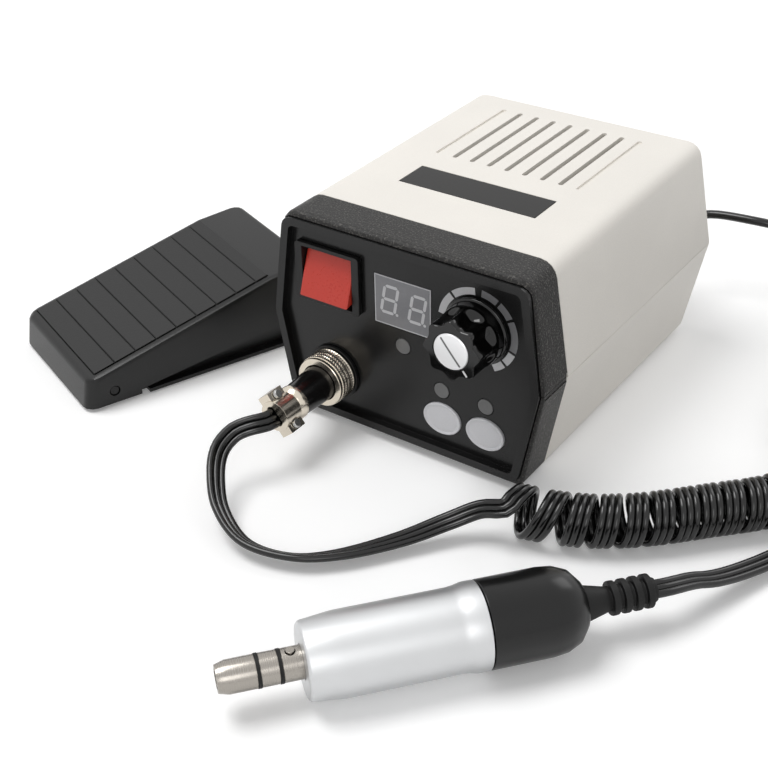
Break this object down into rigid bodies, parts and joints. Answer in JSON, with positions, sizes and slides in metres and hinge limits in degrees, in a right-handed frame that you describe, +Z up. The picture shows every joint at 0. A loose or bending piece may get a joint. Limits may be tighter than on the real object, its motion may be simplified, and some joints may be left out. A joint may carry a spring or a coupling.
{
  "type": "bench micromotor set",
  "caption": "Bench micromotor set: control box with knob and display, motor handpiece on a curly cord, and a wedge foot pedal.",
  "frame": {"origin": "on the surface that the set stands on, at the middle, seen from above, of all but the free cords and the mains plug", "axes": "+Z up, -Y towards the control box's front panel, +X to the right of someone who faces the panel"},
  "size_m": [0.3738, 0.3892, 0.088],
  "materials": {
    "shell_white": "fine grained, warm white",
    "bezel_black": "grained charcoal",
    "panel_black": "smooth, half gloss",
    "plate_dark": "smooth, dark",
    "window_grey": "tinted window",
    "module_grey": "plain",
    "switch_black": "satin",
    "rocker_red": "smooth red",
    "knob_black": "glossy",
    "cap_silver": "spun",
    "steel": "plain",
    "button_grey": "light grey",
    "lamp_grey": "unlit",
    "board_green": "circuit board",
    "nickel": "bright, warm",
    "plug_black": "glossy",
    "transformer": "varnished laminations",
    "rubber_black": "matt",
    "pedal_black": "satin",
    "spring_steel": "bright wire",
    "satin_aluminium": "satin anodised",
    "tail_black": "half gloss",
    "nose_steel": "turned, bright",
    "winding_copper": "enamelled winding",
    "cord_black": "glossy black"
  },
  "bodies": {
    "bench_set": {"upper_shell": "shell_white", "lower_shell": "shell_white", "bezel_upper": "bezel_black", "bezel_lower": "bezel_black", "front_panel": "panel_black", "name_plate": "plate_dark", "foot_1": "rubber_black", "foot_2": "rubber_black", "foot_3": "rubber_black", "foot_4": "rubber_black", "switch_body": "switch_black", "display_window": "window_grey", "display_module": "module_grey", "speed_control": "steel", "lamp_1": "lamp_grey", "lamp_2": "lamp_grey", "lamp_3": "lamp_grey", "control_board": "board_green", "motor_jack": "nickel", "jack_nut": "nickel", "plug_sleeve": "plug_black", "plug_collar": "nickel", "cord_clamp": "nickel", "clamp_screw_1": "nickel", "clamp_screw_2": "nickel", "power_module": "transformer", "mains_gland": "rubber_black", "fuse_holder": "switch_black", "pedal_socket": "nickel", "pedal_base": "pedal_black", "pedal_pin": "steel", "pedal_spring": "spring_steel", "pedal_sensor": "board_green", "pedal_gland": "rubber_black", "motor_nose": "nose_steel", "seal_front": "rubber_black", "seal_rear": "rubber_black", "motor_sleeve": "satin_aluminium", "motor_tail": "tail_black", "cord_boot": "rubber_black", "motor_stator": "winding_copper", "cord_lead_front": "cord_black", "cord_coil": "cord_black", "cord_lead_hand": "cord_black", "mains_lead": "cord_black", "mains_coil": "cord_black", "mains_plug": "rubber_black"},
    "rocker": {"switch_rocker": "rocker_red"},
    "speed_dial": {"speed_knob": "knob_black", "knob_cap": "cap_silver", "control_shaft": "steel"},
    "left_button": {"button_left": "button_grey"},
    "right_button": {"button_right": "button_grey"},
    "plug_ring": {"coupling_ring": "nickel"},
    "fuse_top": {"fuse_cap": "switch_black"},
    "treadle": {"pedal_tread": "pedal_black", "pedal_pad": "rubber_black"},
    "rotor": {"motor_rotor": "steel"},
    "nose_key": {"latch_key": "nose_steel"}
  },
  "joints": [
    {"name": "switch_tilt", "type": "hinge", "parent": "bench_set", "child": "rocker", "pos_m": [-0.0057, -0.0067, 0.0642], "axis": [1, 0, 0], "range_deg": [0, 24]},
    {"name": "knob_turn", "type": "hinge", "parent": "bench_set", "child": "speed_dial", "pos_m": [0.0587, -0.0067, 0.062], "axis": [0, -1, 0], "range_deg": [-13, 222]},
    {"name": "left_press", "type": "slide", "parent": "bench_set", "child": "left_button", "axis": [0, 1, 0], "range_m": [0, 0.0008], "stiffness_N_per_m": 400, "springref_m": -0.001},
    {"name": "right_press", "type": "slide", "parent": "bench_set", "child": "right_button", "axis": [0, 1, 0], "range_m": [0, 0.0008], "stiffness_N_per_m": 400, "springref_m": -0.001},
    {"name": "ring_turn", "type": "hinge", "parent": "bench_set", "child": "plug_ring", "pos_m": [-0.0051, -0.0129, 0.0227], "axis": [0, -1, 0], "continuous": true},
    {"name": "fuse_twist", "type": "hinge", "parent": "bench_set", "child": "fuse_top", "pos_m": [0.0294, 0.1377, 0.0345], "axis": [0, 1, 0], "range_deg": [-90, 0]},
    {"name": "pedal_press", "type": "hinge", "parent": "bench_set", "child": "treadle", "pos_m": [-0.11738, -0.03572, 0.0072], "axis": [-0.9272, 0.3746, 0], "range_deg": [0, 5], "stiffness_Nm_per_rad": 8, "springref_deg": -3.44, "deforming": ["pedal_spring"]},
    {"name": "rotor_spin", "type": "hinge", "parent": "bench_set", "child": "rotor", "pos_m": [0.0584, -0.1531, 0.0143], "axis": [0.6428, 0.766, 0], "continuous": true},
    {"name": "key_press", "type": "slide", "parent": "bench_set", "child": "nose_key", "axis": [0, 0, -1], "range_m": [0, 0.0006], "stiffness_N_per_m": 500, "springref_m": -0.0006}
  ]
}
